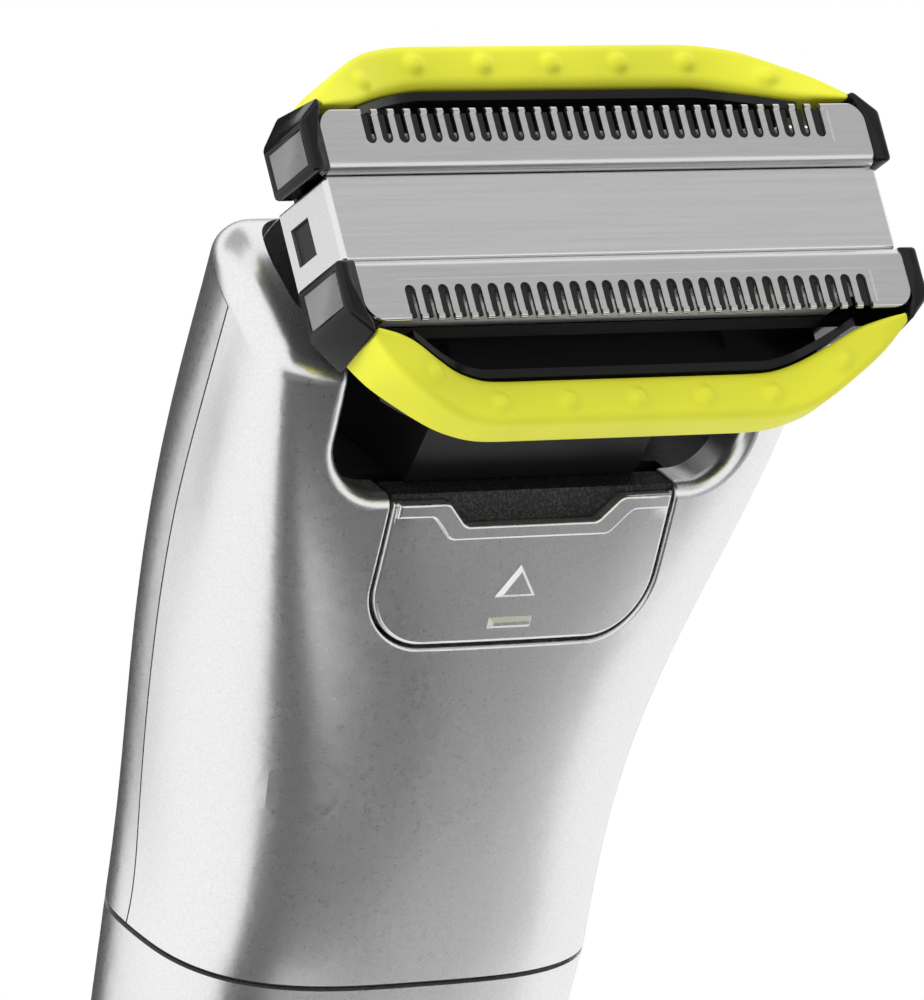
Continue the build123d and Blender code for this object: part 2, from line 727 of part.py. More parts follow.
def chassis():
    y1 = SPINE_FRONT_Y + SPINE_THICKNESS
    spine = block(-SPINE_HALF, SPINE_HALF, SPINE_FRONT_Y, y1, SPINE_Z, PIVOT_Z)
    cell_top = CELL_Z + CELL_LENGTH + TAB_THICKNESS + FIT
    shelf = block(-SPINE_HALF, SPINE_HALF, BOARD_BACK_Y + GAP, y1, cell_top, cell_top + SHELF_THICKNESS)
    low = CELL_Z - TAB_THICKNESS - FIT
    shelf += block(-SPINE_HALF, SPINE_HALF, BOARD_BACK_Y + GAP, y1, low - SHELF_THICKNESS, low)
    back = NECK * block(-SPINE_HALF, SPINE_HALF, 0, FAR, -BRACKET_REACH, BRACKET_REACH)
    tie = back & block(-FAR, FAR, PIVOT_Y + LEVER_BOSS_HALF + 1.5, y1, PIVOT_Z - 12, PIVOT_Z + 8)
    room = NECK * block(-FAR, FAR, -FAR, LEVER_BOSS_HALF + GAP + BRACKET_EAR / 2, -FAR, FAR)
    half = LEVER_BOSS_HALF + GAP + BRACKET_EAR + FIT
    pin_hole = NECK * (Rot(90, 0, 0) * Cylinder(PIN_RADIUS + FIT / 2, 2 * half))
    return spine + shelf + (tie - room) + bracket() + spring_seat() - pin_hole


def spring_seat():
    """Post in front of the bracket that the release spring pushes against."""
    half = SPRING_RADIUS + 1.0
    z1 = SPRING_Z + SPRING_RADIUS + FIT
    return block(-half, half, spring_back(), spring_back() + SEAT_THICKNESS, PIVOT_Z - 2.0, z1)


def spring_back():
    return PIVOT_Y - LEVER_BOSS_HALF - GAP - BRACKET_EAR - 1.2


def release_spring():
    y0 = BUTTON_BACK_Y + FIT + SPRING_WIRE
    length = spring_back() - y0 - FIT - SPRING_WIRE
    pitch = length / SPRING_TURNS
    path = Helix(pitch, length, SPRING_RADIUS - SPRING_WIRE)
    start = path @ 0
    profile = Plane(origin=start, z_dir=path % 0) * Circle(SPRING_WIRE)
    coil = sweep(profile, path=path, is_frenet=True)
    return Pos(0, y0, SPRING_Z) * Rot(-90, 0, 0) * coil


def drive_seal():
    half_y = LEVER_BOSS_HALF + GAP + DRIVE_SEAL_LAP
    z0 = BRACKET_REACH + FIT
    plate = block(-BRACKET_HALF_X, BRACKET_HALF_X, -half_y, half_y, z0, z0 + DRIVE_SEAL_THICKNESS)
    room = LEVER_ROD + CUTTER_STROKE * z0 / LEVER_UP + MOVE + GAP
    return NECK * (plate - Cylinder(room, FAR))


def deck_plate():
    plate = cavity(UPPER, FIT) & slab(DECK_TOP_Z - DECK_THICKNESS, DECK_TOP_Z)
    plate -= block(-BUTTON_HALF - 1.0, BUTTON_HALF + 1.0, -FAR, DECK_FRONT_Y, 0, FAR * 4)
    socket = block(-PLUG_HALF - FIT, PLUG_HALF + FIT, -PLUG_DEPTH_HALF - FIT, PLUG_DEPTH_HALF + FIT, 0, FAR)
    return plate - NECK * socket


def release_solid():
    """Whole release button before the grip is parted from it."""
    face = button_panel(0.0)
    solid = front_prism(face, -FAR / 2, BUTTON_BACK_Y) & UPPER_OUTSIDE
    return solid & slab(0, NOTCH_FLOOR_Z - FIT)


def scallop_cut(grow):
    """Space of the grip: the shoulders and the scalloped dip."""
    top = NOTCH_FLOOR_Z + 5
    shoulder = NOTCH_FLOOR_Z - SHOULDER_DROP - grow
    dip = NOTCH_FLOOR_Z - SHOULDER_DROP - SCALLOP_DROP - grow
    wide = BUTTON_HALF + 2
    pts = [
        (-wide, top), (-wide, shoulder), (-SCALLOP_TOP_HALF - grow, shoulder),
        (-SCALLOP_FLOOR_HALF - grow, dip), (SCALLOP_FLOOR_HALF + grow, dip),
        (SCALLOP_TOP_HALF + grow, shoulder), (wide, shoulder), (wide, top),
    ]
    face = make_face(Polyline(*pts, close=True))
    corners = [v for v in face.vertices() if abs(v.Y - top) > 1 and abs(v.X) < wide - 1]
    return front_prism(Plane.XZ * fillet(corners, SCALLOP_ROUND), -FAR / 2, FAR / 2)


def release_mark():
    """Raised release sign with sloping sides: a triangle over a bar."""
    half = MARK_WIDTH / 2
    corners = [(-half, MARK_FOOT_Z), (0, MARK_FOOT_Z + MARK_HEIGHT), (half, MARK_FOOT_Z)]
    triangle = make_face(Polyline(*corners, close=True))
    bar = Pos(0, MARK_BAR_Z) * Rectangle(MARK_WIDTH, MARK_BAR_HEIGHT)
    skin = Plane.XZ.offset(CHEST.front)
    return [extrude(skin * shape, amount=MARK_RISE, taper=MARK_SLOPE) for shape in (triangle, bar)]


def release_lip():
    """Raised lip of the release button along its scalloped top edge."""
    band = scallop_cut(LIP_WIDTH) - scallop_cut(0.0)
    button = front_prism(button_panel(-BUTTON_EDGE), -FAR / 2, BUTTON_BACK_Y)
    raised = Pos(0, -LIP_RISE, 0) * UPPER_OUTSIDE
    skin = raised.faces().sort_by(SortBy.AREA)[-1]
    lip = band & button & raised
    return fillet([e for e in lip.edges() if skin.distance_to(e @ 0.5) < TOUCH], LIP_EDGE)


def release_button():
    plate = release_solid() - scallop_cut(0.0)
    skin = UPPER_OUTSIDE.faces().sort_by(SortBy.AREA)[-1]
    rim = [e for e in plate.edges() if skin.distance_to(e @ 0.5) < TOUCH]
    return fillet(rim, BUTTON_EDGE) + release_lip() + release_mark()


def release_grip():
    grip = release_solid() & scallop_cut(-FIT)
    return grip & (Pos(0, GRIP_SETBACK, 0) * UPPER_OUTSIDE)


def yoke_top():
    return DECK_TOP_Z - DECK_THICKNESS - MOVE


def release_yoke():
    z1 = yoke_top()
    z0 = z1 - YOKE_HEIGHT
    x0 = PLUG_HALF + LATCH_CLEAR
    x1 = x0 + YOKE_ARM
    arms = both(block(x0, x1, BUTTON_BACK_Y + FIT, YOKE_ARM_END_Y, z0, z1))
    web = block(-x1, x1, BUTTON_BACK_Y + FIT, BUTTON_BACK_Y + FIT + YOKE_WEB, z0, z1)
    return arms + web


def neck_plug():
    neck = NECK * block(-NECK_HALF, NECK_HALF, -NECK_FRONT, NECK_BACK, 0, FAR)
    neck = neck & slab(DECK_TOP_Z + 2 * FIT, FAR * 4)
    plug = NECK * block(-PLUG_HALF, PLUG_HALF, -PLUG_DEPTH_HALF, PLUG_DEPTH_HALF, PLUG_START, FAR)
    below = HEAD * block(-FAR, FAR, -FAR, FAR, -FAR * 2, TRAY_FLOOR_Z - FIT)
    bore = NECK * block(-BORE_HALF_X, BORE_HALF_X, -BORE_HALF_Y, BORE_HALF_Y, 0, FAR * 2)
    holes = HEAD * both(rod(HEAD_SCREW_RADIUS + FIT, -FAR / 3, 0, HEAD_SCREW_X, HEAD_SCREW_Y))
    return ((neck + plug) & below) - bore - holes


def bend_plane(bend):
    """Upright plane across a bow at one station, with its origin under the inner edge."""
    (xi, yi), (xo, yo) = bend.inner, bend.outer
    across = math.dist(bend.inner, bend.outer)
    out = ((xo - xi) / across, (yo - yi) / across)
    return Plane(origin=(xi, yi, 0), x_dir=(out[0], out[1], 0), z_dir=(out[1], -out[0], 0))


def bent_bar(section, run):
    """Bar with a straight middle, and both ends lofted through a run of stations."""
    faces = [bend_plane(bend) * section(bend) for bend in run]
    straight = extrude(faces[0], amount=-2 * run[0].inner[0])
    return straight + both(loft(faces))


def guard_section(bend):
    """Rounded section of the guard at one station."""
    across = math.dist(bend.inner, bend.outer)
    corners = [(0, bend.low), (across, bend.low), (across, bend.outer_top), (0, bend.inner_top)]
    profile = make_face(Polyline(*corners, close=True))
    return fillet(profile.vertices(), bend.soft)


def guard():
    """Elastomer guard at the back, in the head's frame."""
    return bent_bar(guard_section, GUARD_RUN) + [bump(*spot) for spot in bump_spots()]


def bump_spots():
    """Places of the bumps on a guard: a row on the straight and one on each bend."""
    y = (GUARD_STRAIGHT.inner[1] + GUARD_STRAIGHT.outer[1]) / 2
    first = -BUMP_PITCH * (BUMP_COUNT - 1) / 2
    spots = [(first + i * BUMP_PITCH, y, GUARD_STRAIGHT.inner_top) for i in range(BUMP_COUNT)]
    corners = [GUARD_BEND.inner, GUARD_BEND.outer, GUARD_TURN.inner, GUARD_TURN.outer]
    tops = [GUARD_BEND.inner_top, GUARD_BEND.outer_top, GUARD_TURN.inner_top, GUARD_TURN.outer_top]
    x = sum(corner[0] for corner in corners) / len(corners)
    y = sum(corner[1] for corner in corners) / len(corners)
    top = sum(tops) / len(tops)
    return spots + [(x, y, top), (-x, y, top)]


def bump(x, y, top):
    """Low dome on top of a guard."""
    ball = (BUMP_RADIUS ** 2 + BUMP_RISE ** 2) / (2 * BUMP_RISE)
    dome = Pos(x, y, top + BUMP_RISE - ball) * Sphere(ball)
    reach = 2 * BUMP_RADIUS
    return dome & block(x - reach, x + reach, y - reach, y + reach, top - BUMP_SINK, top + 2 * BUMP_RISE)


def bow_section(bend):
    """Rail under the guard, with a lining on its inner side."""
    low = bend.low - GUARD_GAP
    floor = low - GUARD_RAIL
    far = math.dist(bend.inner, bend.outer) * RAIL_SHARE
    near = -GUARD_LINING - GUARD_GAP
    brim = bend.inner_top - LINING_DROP
    lining = [(-GUARD_GAP, low), (-GUARD_GAP, brim), (near, brim)]
    return make_face(Polyline((near, floor), (far, floor), (far, low), *lining, close=True))


def floor_section(bend):
    """Floor between the tray and the lining."""
    high = bend.low - GUARD_GAP
    near = TRAY_HALF_Y - TRAY_SIDE / 2 - bend.inner[1]
    far = -GUARD_GAP - FIT
    return Pos((near + far) / 2, high - GUARD_RAIL / 2) * Rectangle(far - near, GUARD_RAIL)


def bow():
    """Black bow that carries the back guard."""
    return bent_bar(bow_section, BOW_RUN) + bent_bar(floor_section, BOW_RUN)


def tray_room(lift, top, half_y):
    """Trough with a flat floor that rises towards its two ends."""
    x = TRAY_HALF_X
    flat = x - TRAY_RISE_X
    end = CAP_BOTTOM_Z + lift
    low = TRAY_FLOOR_Z + lift
    outline = Polyline((-x, top), (-x, end), (-flat, low), (flat, low), (x, end), (x, top), close=True)
    return extrude(Plane.XZ * make_face(outline), amount=half_y, both=True)


def head_frame():
    x = TRAY_HALF_X
    y = TRAY_HALF_Y
    tray = tray_room(0.0, TRAY_SIDE_TOP_Z, y) - tray_room(TRAY_FLOOR, 0.0, y - TRAY_SIDE)
    tray -= block(-TRAY_WINDOW_X, TRAY_WINDOW_X, -TRAY_WINDOW_Y, TRAY_WINDOW_Y, -FAR, FAR)
    under = -STRIP_THICKNESS - FIT
    tab_inner = STRIP_LENGTH / 2 - STRIP_THICKNESS
    wall = block(x - TRAY_END, tab_inner - FIT, -TAB_HALF, TAB_HALF, GAP - TAB_DEPTH, under)
    tray += both(wall)
    post_top = COMB_RISE - COMB_THICKNESS - FIT
    post = block(x - TRAY_END, x, COMB_INNER + COMB_CURL, y, CAP_BOTTOM_Z, post_top)
    half = both(post) + bow()
    tray += half + mirror(half, about=Plane.XZ)
    catch_y = WINDOW_WIDTH / 2 - FIT
    catch_z = WINDOW_HEIGHT / 2 - FIT
    catch = block(tab_inner - FIT - GAP, tab_inner + CATCH_REACH, -catch_y, catch_y,
                  WINDOW_Z - catch_z, WINDOW_Z + catch_z)
    tray += both(catch)
    return tray - both(rod(HEAD_SCREW_RADIUS + FIT, -FAR, 0, HEAD_SCREW_X, HEAD_SCREW_Y))


def head_screws():
    top = TRAY_FLOOR_Z + TRAY_FLOOR + FIT
    head = rod(HEAD_SCREW_HEAD, top, top + 0.9, HEAD_SCREW_X, HEAD_SCREW_Y)
    shank = rod(HEAD_SCREW_RADIUS, top - HEAD_SCREW_LENGTH, top, HEAD_SCREW_X, HEAD_SCREW_Y)
    slot = block(-2, 2, -0.2, 0.2, top + 0.5, top + 2)
    return both(head + shank - Pos(HEAD_SCREW_X, HEAD_SCREW_Y, 0) * slot)


def centre_strip():
    half = STRIP_LENGTH / 2
    plate = block(-half, half, -STRIP_WIDTH / 2, STRIP_WIDTH / 2, -STRIP_THICKNESS, 0)
    tab = block(half - STRIP_THICKNESS, half, -TAB_HALF, TAB_HALF, -TAB_DEPTH, 0)
    window = block(half - 1, half + 1, -WINDOW_WIDTH / 2, WINDOW_WIDTH / 2,
                   WINDOW_Z - WINDOW_HEIGHT / 2, WINDOW_Z + WINDOW_HEIGHT / 2)
    strip = plate + both(tab - window)
    long_edges = strip.edges().filter_by(Axis.X)
    long_edges = [e for e in long_edges if e.center().Z > -0.01 and e.length > half]
    strip = fillet(long_edges, STRIP_THICKNESS * 0.7)
    ends = strip.edges().filter_by(Axis.Y)
    ends = [e for e in ends if e.center().Z > -0.01 and abs(e.center().X) > half - 0.01]
    return fillet(ends, STRIP_THICKNESS * 0.9)


def comb():
    """Back comb: a plate whose inner edge curls down, with open slots outwards."""
    top = COMB_RISE
    r = COMB_CURL
    t = COMB_THICKNESS
    y0 = COMB_INNER
    low = top - COMB_CURL_DROP - r * 0.2
    arc_out = CenterArc((y0 + r, top - r), r, 90, 90)
    arc_in = CenterArc((y0 + r, top - r), r - t, 90, 90)
    lines = [
        Polyline((y0, top - r), (y0, low), (y0 + t, low), (y0 + t, top - r)),
        Line((y0 + r, top), (COMB_OUTER - TIP_ROUND, top)),
        CenterArc((COMB_OUTER - TIP_ROUND, top - TIP_ROUND), TIP_ROUND, 0, 90),
        Polyline((COMB_OUTER, top - TIP_ROUND), (COMB_OUTER, top - t), (y0 + r, top - t)),
    ]
    plate = side_cut([arc_out, arc_in] + lines, COMB_HALF)
    plan = Pos(0, (COMB_OUTER - FAR) / 2) * Rectangle(2 * COMB_HALF, COMB_OUTER + FAR)
    outer = plan.vertices().sort_by(Axis.Y)[-2:]
    plate = plate & extrude(fillet(outer, COMB_CORNER), amount=FAR, both=True)
    first = -SLOT_PITCH * (SLOT_COUNT - 1) / 2
    field = FIELD_SIDE + SLOT_WIDTH / 2 - first
    plate -= block(-field, field, FIELD_INNER, COMB_OUTER - 2 * TIP_ROUND, top - FIELD_DROP, FAR)
    root = SLOT_ROOT + SLOT_WIDTH / 2
    slot = block(-SLOT_WIDTH / 2, SLOT_WIDTH / 2, root, FAR, -2, 2) + rod(SLOT_WIDTH / 2, -2, 2, 0, root)
    return plate - [Pos(first + i * SLOT_PITCH, 0, 0) * slot for i in range(SLOT_COUNT)]


def cutter():
    """Back cutter: a toothed strip that runs under the comb."""
    z1 = COMB_RISE - COMB_THICKNESS - BLADE_GAP
    strip = block(-BLADE_HALF, BLADE_HALF, BLADE_INNER, BLADE_OUTER, z1 - BLADE_THICKNESS, z1)
    count = SLOT_COUNT - 1
    first = -SLOT_PITCH * (count - 1) / 2
    slot = block(-SLOT_WIDTH / 2, SLOT_WIDTH / 2, RAIL_OUTER - 0.6, FAR, -2, 2)
    return strip - [Pos(first + i * SLOT_PITCH, 0, 0) * slot for i in range(count)]


def blade_bottom():
    return COMB_RISE - COMB_THICKNESS - BLADE_GAP - BLADE_THICKNESS


def blade_spring():
    z1 = blade_bottom() - FIT
    y1 = RAIL_OUTER - 0.3
    return block(-RAIL_HALF + 2, RAIL_HALF - 2, BLADE_INNER + 0.2, y1, z1 - BLADE_SPRING, z1)


def cutter_carriage():
    rail_top = blade_bottom() - BLADE_SPRING - 2 * FIT
    rail = block(-RAIL_HALF, RAIL_HALF, BLADE_INNER, RAIL_OUTER, BRIDGE_TOP_Z - BRIDGE_THICKNESS, rail_top)
    body = rail + mirror(rail, about=Plane.XZ)
    low = BRIDGE_TOP_Z - BRIDGE_THICKNESS
    body += block(-BRIDGE_HALF, BRIDGE_HALF, -RAIL_OUTER, RAIL_OUTER, low, BRIDGE_TOP_Z)
    y, z = lever_tip()
    x0 = LEVER_TIP + FIT
    prong = block(x0, x0 + PRONG_WIDTH, y - PRONG_HALF, y + PRONG_HALF, low - PRONG_DEPTH, low)
    return body + both(prong)


def end_cap():
    """Back right corner cap of the head."""
    x0 = COMB_HALF + FIT
    tip_x = GUARD_END.outer[0] + 2 * FIT
    pts = [
        (x0, CAP_INNER_Y), (CAP_END, CAP_INNER_Y), (CAP_END, CAP_PANEL_Y), (tip_x, CAP_TIP_Y),
        (tip_x, COMB_OUTER + 3 * FIT), (x0, COMB_OUTER - COMB_CORNER * 0.4),
    ]
    solid = extrude(make_face(Polyline(*pts, close=True)), amount=CAP_TOP_Z - CAP_BOTTOM_Z)
    solid = Pos(0, 0, CAP_BOTTOM_Z) * solid
    outer = [e for e in solid.edges() if e.center().X > (tip_x + CAP_END) / 2 - 0.01]
    return fillet(outer, CAP_SOFT)


def front_of(shape):
    """The front copy of a piece that was drawn for the back."""
    return mirror(shape, about=Plane.XZ)


def left_of(shape):
    """The left copy of a piece that was drawn for the right."""
    return mirror(shape, about=Plane.YZ)


def pieces():
    """Every piece by name, in the shaver's frame."""
    back_guard = guard()
    back_comb = comb()
    back_cutter = cutter()
    back_spring = blade_spring()
    cap = end_cap()
    low_tab, high_tab = battery_tabs()
    return {
        "front_cover": front_cover(),
        "back_cover": back_cover(),
        "cover_screws": cover_screws(),
        "lower_body": lower_body(),
        "waist_gasket": waist_gasket(),
        "base_cap": base_cap(),
        "base_seal": base_seal(),
        "base_screws": base_screws(),
        "charge_jack": charge_jack(),
        "power_button": power_button(),
        "power_switch": power_switch(),
        "status_led": status_led(),
        "light_pipe": light_pipe(),
        "control_board": control_board(),
        "battery_cell": battery_cell(),
        "battery_tab_low": low_tab,
        "battery_tab_high": high_tab,
        "chassis": chassis(),
        "motor_can": motor_can(),
        "motor_end_bell": motor_end_bell(),
        "motor_shaft": motor_shaft(),
        "motor_armature": motor_armature(),
        "drive_cam": drive_cam(),
        "drive_lever": drive_lever(),
        "lever_pin": lever_pin(),
        "drive_seal": drive_seal(),
        "deck_plate": deck_plate(),
        "release_button": release_button(),
        "release_grip": release_grip(),
        "release_yoke": release_yoke(),
        "release_spring": release_spring(),
        "neck_plug": neck_plug(),
        "head_frame": HEAD * head_frame(),
        "head_screws": HEAD * head_screws(),
        "centre_strip": HEAD * centre_strip(),
        "comb_back": HEAD * back_comb,
        "comb_front": HEAD * front_of(back_comb),
        "cutter_back": HEAD * back_cutter,
        "cutter_front": HEAD * front_of(back_cutter),
        "blade_spring_back": HEAD * back_spring,
        "blade_spring_front": HEAD * front_of(back_spring),
        "cutter_carriage": HEAD * cutter_carriage(),
        "cap_back_right": HEAD * cap,
        "cap_back_left": HEAD * left_of(cap),
        "cap_front_right": HEAD * front_of(cap),
        "cap_front_left": HEAD * left_of(front_of(cap)),
        "guard_back": HEAD * back_guard,
        "guard_front": HEAD * front_of(back_guard),
    }


os.makedirs("parts", exist_ok=True)
for name, shape in pieces().items():
    export_step(shape, f"parts/{name}.step")
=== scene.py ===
# %% [markdown]
# # An electric body shaver, dressed for its picture
#
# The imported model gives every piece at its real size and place. This lesson adds what the
# solids can't hold: the satin lacquer, the brushed steel, the soft yellow guards, and the
# small rounded edges that catch the light. Every piece is in metres, in the frame of the solids:
# the origin is the middle of the foot, up is +Z and the front is -Y.

# %% Load the frame
import json
import math
from collections import namedtuple

import bmesh
import bpy
from mathutils import Matrix, Vector


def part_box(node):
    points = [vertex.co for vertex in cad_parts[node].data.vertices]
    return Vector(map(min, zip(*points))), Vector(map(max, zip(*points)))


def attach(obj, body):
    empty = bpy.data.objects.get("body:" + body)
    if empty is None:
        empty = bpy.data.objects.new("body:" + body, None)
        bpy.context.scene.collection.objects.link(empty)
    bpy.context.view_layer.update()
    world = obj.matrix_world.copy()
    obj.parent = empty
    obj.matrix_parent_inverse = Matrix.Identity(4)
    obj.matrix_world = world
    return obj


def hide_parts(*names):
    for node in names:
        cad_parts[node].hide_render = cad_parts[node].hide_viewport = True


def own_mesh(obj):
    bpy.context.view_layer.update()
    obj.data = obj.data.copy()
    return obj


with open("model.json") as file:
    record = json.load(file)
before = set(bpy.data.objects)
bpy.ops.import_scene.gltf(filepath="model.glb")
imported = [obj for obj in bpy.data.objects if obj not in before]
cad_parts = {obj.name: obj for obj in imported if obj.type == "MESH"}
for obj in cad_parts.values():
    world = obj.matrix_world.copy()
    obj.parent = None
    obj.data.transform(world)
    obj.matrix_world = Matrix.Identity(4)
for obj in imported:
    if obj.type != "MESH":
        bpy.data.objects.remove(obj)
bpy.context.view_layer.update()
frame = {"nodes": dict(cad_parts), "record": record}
nodes = frame["nodes"]
MM = 0.001

# %% [markdown]
# ## The camera
#
# The picture was taken from the left front, a little above the head, with a long lens and the
# shaver leaning in the frame. Instead of guessing with an aim constraint, the camera is set from
# three angles and a distance, so that the lean is one number. The target is given from the middle
# of the steel strip, measured along the camera's own axes.

# %% Camera
VIEW_TURN = math.radians(35.93)
VIEW_RISE = math.radians(20.73)
VIEW_ROLL = math.radians(12.06)
VIEW_DISTANCE = 600 * MM
STRIP_CENTRE = Vector((0, -13.5, 145.4)) * MM
HEAD_TILT = math.radians(44)
TARGET_RIGHT = -10.11 * MM
TARGET_UP = -18.93 * MM
PICTURE_HEIGHT = 1000
FOCAL_PIXELS = 9117.9
SENSOR = 36.0

look = Vector((
    math.sin(VIEW_TURN) * math.cos(VIEW_RISE),
    math.cos(VIEW_TURN) * math.cos(VIEW_RISE),
    -math.sin(VIEW_RISE),
))
level_right = Vector((math.cos(VIEW_TURN), -math.sin(VIEW_TURN), 0))
level_up = level_right.cross(look)
camera_right = math.cos(VIEW_ROLL) * level_right + math.sin(VIEW_ROLL) * level_up
camera_up = camera_right.cross(look)
target = STRIP_CENTRE + TARGET_RIGHT * camera_right + TARGET_UP * camera_up

camera = bpy.data.objects.new("camera", bpy.data.cameras.new("camera"))
bpy.context.scene.collection.objects.link(camera)
turn = Matrix((camera_right, camera_up, -look)).transposed().to_4x4()
camera.matrix_world = Matrix.Translation(target - VIEW_DISTANCE * look) @ turn
camera.data.sensor_fit = "VERTICAL"
camera.data.sensor_height = SENSOR
camera.data.lens = FOCAL_PIXELS / PICTURE_HEIGHT * SENSOR
camera.data.clip_start = 10 * MM
bpy.context.scene.camera = camera
print("camera at", [round(v, 3) for v in camera.location])

# %% [markdown]
# ## The studio
#
# A product like this is shot on white, between large soft lamps. The floor and the world look
# white to the camera and in reflections, while the lamps alone decide how bright the shaver is.
# A silver handle shows what it mirrors, and it mirrors the floor around it. So a photographer lays
# paper there: a dark wedge on the left draws the band down the corner of the handle, a darker and a
# lighter one in front shade its face from left to right, and one behind darkens the far edge. They
# start a little way off where the handle should grow lighter towards its foot. The flat steel
# mirrors a sheet hung above it, so that its rolled edges stand out lighter, and the rounded rim
# mirrors a second sheet behind. The camera sees none of them.

# %% Floor and paper
STAGE_SHOWN = 0.97
FLOOR_SIZE = 6
FLOOR_TONE = 0.86
PAPER_NEAR = 45 * MM
PAPER_REACH = 2.5
PAPER_LIFT = 0.4 * MM
PAPER_STEP = 0.1 * MM
bpy.context.scene.view_settings.view_transform = "Standard"


def stage_material(name, colour, shown):
    """Matt paper; shown is how bright it looks to the camera and in reflections."""
    material = bpy.data.materials.new(name)
    material.use_nodes = True
    tree = material.node_tree
    tree.nodes.clear()
    rays = tree.nodes.new("ShaderNodeLightPath")
    seen = tree.nodes.new("ShaderNodeMath")
    seen.operation = "MAXIMUM"
    tree.links.new(rays.outputs["Is Camera Ray"], seen.inputs[0])
    tree.links.new(rays.outputs["Is Glossy Ray"], seen.inputs[1])
    share = tree.nodes.new("ShaderNodeMath")
    share.operation = "MULTIPLY"
    share.inputs[1].default_value = STAGE_SHOWN
    tree.links.new(seen.outputs[0], share.inputs[0])
    matt = tree.nodes.new("ShaderNodeBsdfDiffuse")
    matt.inputs["Color"].default_value = (colour, colour, colour, 1)
    glow = tree.nodes.new("ShaderNodeEmission")
    glow.inputs["Color"].default_value = (shown, shown, shown, 1)
    mix = tree.nodes.new("ShaderNodeMixShader")
    tree.links.new(share.outputs[0], mix.inputs[0])
    tree.links.new(matt.outputs[0], mix.inputs[1])
    tree.links.new(glow.outputs[0], mix.inputs[2])
    out = tree.nodes.new("ShaderNodeOutputMaterial")
    tree.links.new(mix.outputs[0], out.inputs["Surface"])
    return material


def stage_object(name, bm, material, camera_sees):
    """Finish a mesh of the studio, which isn't part of the shaver."""
    mesh = bpy.data.meshes.new(name)
    bm.to_mesh(mesh)
    bm.free()
    mesh.materials.append(material)
    sheet = bpy.data.objects.new(name, mesh)
    bpy.context.scene.collection.objects.link(sheet)
    sheet.visible_camera = camera_sees
    sheet.visible_diffuse = camera_sees
    sheet.visible_shadow = camera_sees
    return sheet


def floor():
    bm = bmesh.new()
    bmesh.ops.create_grid(bm, x_segments=1, y_segments=1, size=FLOOR_SIZE / 2)
    return stage_object("floor", bm, stage_material("floor_white", FLOOR_TONE, 1.0), True)


def paper_wedge(name, start, end, tone, height, radius):
    """Wedge of paper around the foot, from one bearing to another in degrees."""
    bm = bmesh.new()
    near = bm.verts.new((radius, 0, height))
    far = bm.verts.new((PAPER_REACH, 0, height))
    edge = bm.edges.new((near, far))
    bmesh.ops.rotate(bm, matrix=Matrix.Rotation(math.radians(start), 3, "Z"), verts=bm.verts)
    bmesh.ops.spin(bm, geom=[near, far, edge], axis=(0, 0, 1), cent=(0, 0, 0),
                   angle=math.radians(end - start), steps=16)
    return stage_object(name, bm, stage_material(name, tone, tone), False)


def paper_sheet(name, facing, away, size, tone):
    """Sheet hung where a surface that faces one way mirrors it."""
    mirrored = look.reflect(Vector(facing))
    bm = bmesh.new()
    bmesh.ops.create_grid(bm, x_segments=1, y_segments=1, size=size / 2)
    turn = mirrored.to_track_quat("-Z", "Y").to_matrix()
    bmesh.ops.rotate(bm, matrix=turn, verts=bm.verts)
    bmesh.ops.translate(bm, vec=STRIP_CENTRE + away * mirrored, verts=bm.verts)
    return stage_object(name, bm, stage_material(name, tone, tone), False)


floor()
papers = [
    ("paper_corner", -140, -100, 0.08, PAPER_NEAR),
    ("paper_left", -100, -54, 0.04, 165 * MM),
    ("paper_front", -54, -38, 0.45, 185 * MM),
    ("paper_back", 40, 121, 0.03, PAPER_NEAR),
]
for i, (name, start, end, tone, radius) in enumerate(papers):
    paper_wedge(name, start, end, tone, PAPER_LIFT + i * PAPER_STEP, radius)
HEAD_UP = (0, -math.sin(HEAD_TILT), math.cos(HEAD_TILT))
paper_sheet("paper_ceiling", HEAD_UP, 0.6, 0.55, 0.55)
paper_sheet("paper_rear", (-0.5, 0, 0.87), 1.0, 0.8, 0.4)
print("studio: floor, four wedges of paper and two sheets")

# %% [markdown]
# ### Lamps and world
#
# One HDR picture could light the shaver too, but plain lamps are easier to move. The world is the
# fill: it looks white where it is seen or mirrored, and gives only part of that as light.

# %% Lamps and world
def lamp(name, size, place, aim, power):
    """Soft rectangular lamp aimed at a point."""
    data = bpy.data.lights.new(name, "AREA")
    data.shape = "RECTANGLE"
    data.size, data.size_y = size
    data.energy = power
    light = bpy.data.objects.new(name, data)
    light.location = place
    light.visible_glossy = False
    light.rotation_euler = (Vector(aim) - Vector(place)).to_track_quat("-Z", "Y").to_euler()
    bpy.context.scene.collection.objects.link(light)
    return light


MIDDLE = Vector((0, 0, 0.11))
WORLD_FILL = 0.78
world = bpy.data.worlds.new("studio")
world.use_nodes = True
bpy.context.scene.world = world
tree = world.node_tree
tree.nodes["Background"].inputs["Color"].default_value = (1, 1, 1, 1)
rays = tree.nodes.new("ShaderNodeLightPath")
seen = tree.nodes.new("ShaderNodeMath")
seen.operation = "MAXIMUM"
tree.links.new(rays.outputs["Is Camera Ray"], seen.inputs[0])
tree.links.new(rays.outputs["Is Glossy Ray"], seen.inputs[1])
seen_too = tree.nodes.new("ShaderNodeMath")
seen_too.operation = "MAXIMUM"
tree.links.new(seen.outputs[0], seen_too.inputs[0])
tree.links.new(rays.outputs["Is Transmission Ray"], seen_too.inputs[1])
level = tree.nodes.new("ShaderNodeMapRange")
level.inputs["To Min"].default_value = WORLD_FILL
level.inputs["To Max"].default_value = 1.0
tree.links.new(seen_too.outputs[0], level.inputs["Value"])
tree.links.new(level.outputs[0], tree.nodes["Background"].inputs["Strength"])

